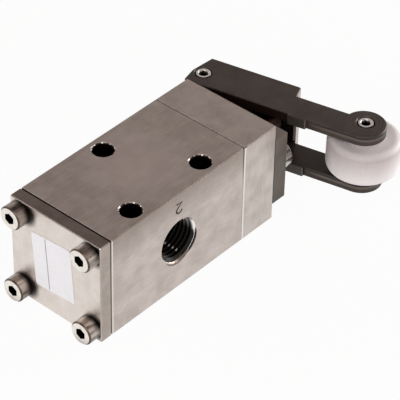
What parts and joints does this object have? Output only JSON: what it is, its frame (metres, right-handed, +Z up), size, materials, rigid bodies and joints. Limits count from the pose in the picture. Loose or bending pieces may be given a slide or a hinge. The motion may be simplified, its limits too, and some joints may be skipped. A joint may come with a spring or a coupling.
{
  "type": "roller lever air valve",
  "caption": "Spool air valve in a square stainless steel body: a hinged roller lever pushes a domed plunger and a spring returns it.",
  "frame": {"origin": "centre of the main body's bottom face, where the valve sits on its mounting surface", "axes": "+X along the spool towards the lever, +Z up through the mounting holes, port 2 on the -Y side, ports 1 and 3 on the +Y side"},
  "size_m": [0.1079, 0.0622, 0.032],
  "materials": {
    "valve_body": "ground stainless steel",
    "end_plate": "ground stainless steel, finer on its face",
    "bracket_steel": "black oxided steel, satin",
    "lever_steel": "black oxided steel, satin",
    "plunger_steel": "black oxided steel, ground",
    "cover_screws": "bright zinc plated",
    "bracket_screws": "bright zinc plated",
    "pins": "turned steel",
    "bronze": "sintered bronze",
    "roller": "white acetal",
    "bush_steel": "turned steel",
    "nitrile": "black nitrile",
    "cages": "black acetal",
    "washer_steel": "plain steel",
    "spring_steel": "spring steel",
    "seat_brass": "turned brass",
    "spool_steel": "hard chromed, ground"
  },
  "bodies": {
    "valve_body": {"main_body": "valve_body", "end_plate": "end_plate", "head_block": "valve_body", "lever_bracket": "bracket_steel", "pivot_bushes": "bronze", "end_plate_screws": "cover_screws", "head_block_screws": "cover_screws", "bracket_screws": "bracket_screws", "end_plate_oring": "nitrile", "head_block_oring": "nitrile", "stack_washer": "washer_steel", "stack_circlip": "spring_steel", "spring_seat": "seat_brass", "return_spring": "spring_steel", "plunger_bush": "bronze", "plunger_seal": "nitrile", "plunger_wiper": "nitrile", "supply_port_cage": "cages", "outlet_port_cage": "cages", "exhaust_port_cage": "cages", "spool_seal_1": "nitrile", "spool_seal_2": "nitrile", "spool_seal_3": "nitrile", "spool_seal_4": "nitrile"},
    "spool_and_plunger": {"spool": "spool_steel", "plunger": "plunger_steel"},
    "lever_arm": {"lever": "lever_steel", "pivot_pin": "pins", "roller_pin": "pins", "roller_bush": "bush_steel"},
    "lever_roller": {"roller": "roller"}
  },
  "joints": [
    {"name": "lever_pivot", "type": "hinge", "parent": "valve_body", "child": "lever_arm", "pos_m": [0.0505, 0.02, 0.016], "axis": [0, 0, -1], "range_deg": [0, 13.7], "stiffness_Nm_per_rad": 0.82, "springref_deg": -11.46},
    {"name": "spool_slide", "type": "slide", "parent": "valve_body", "child": "spool_and_plunger", "axis": [-1, 0, 0], "range_m": [0, 0.0049], "deforming": ["return_spring"]},
    {"name": "roller_spin", "type": "hinge", "parent": "lever_arm", "child": "lever_roller", "pos_m": [0.06336, -0.02794, 0.016], "axis": [0, 0, 1], "continuous": true}
  ],
  "couplings": [
    {"joint": "spool_slide", "follows": "lever_pivot", "m_per_rad": 0.0203}
  ]
}
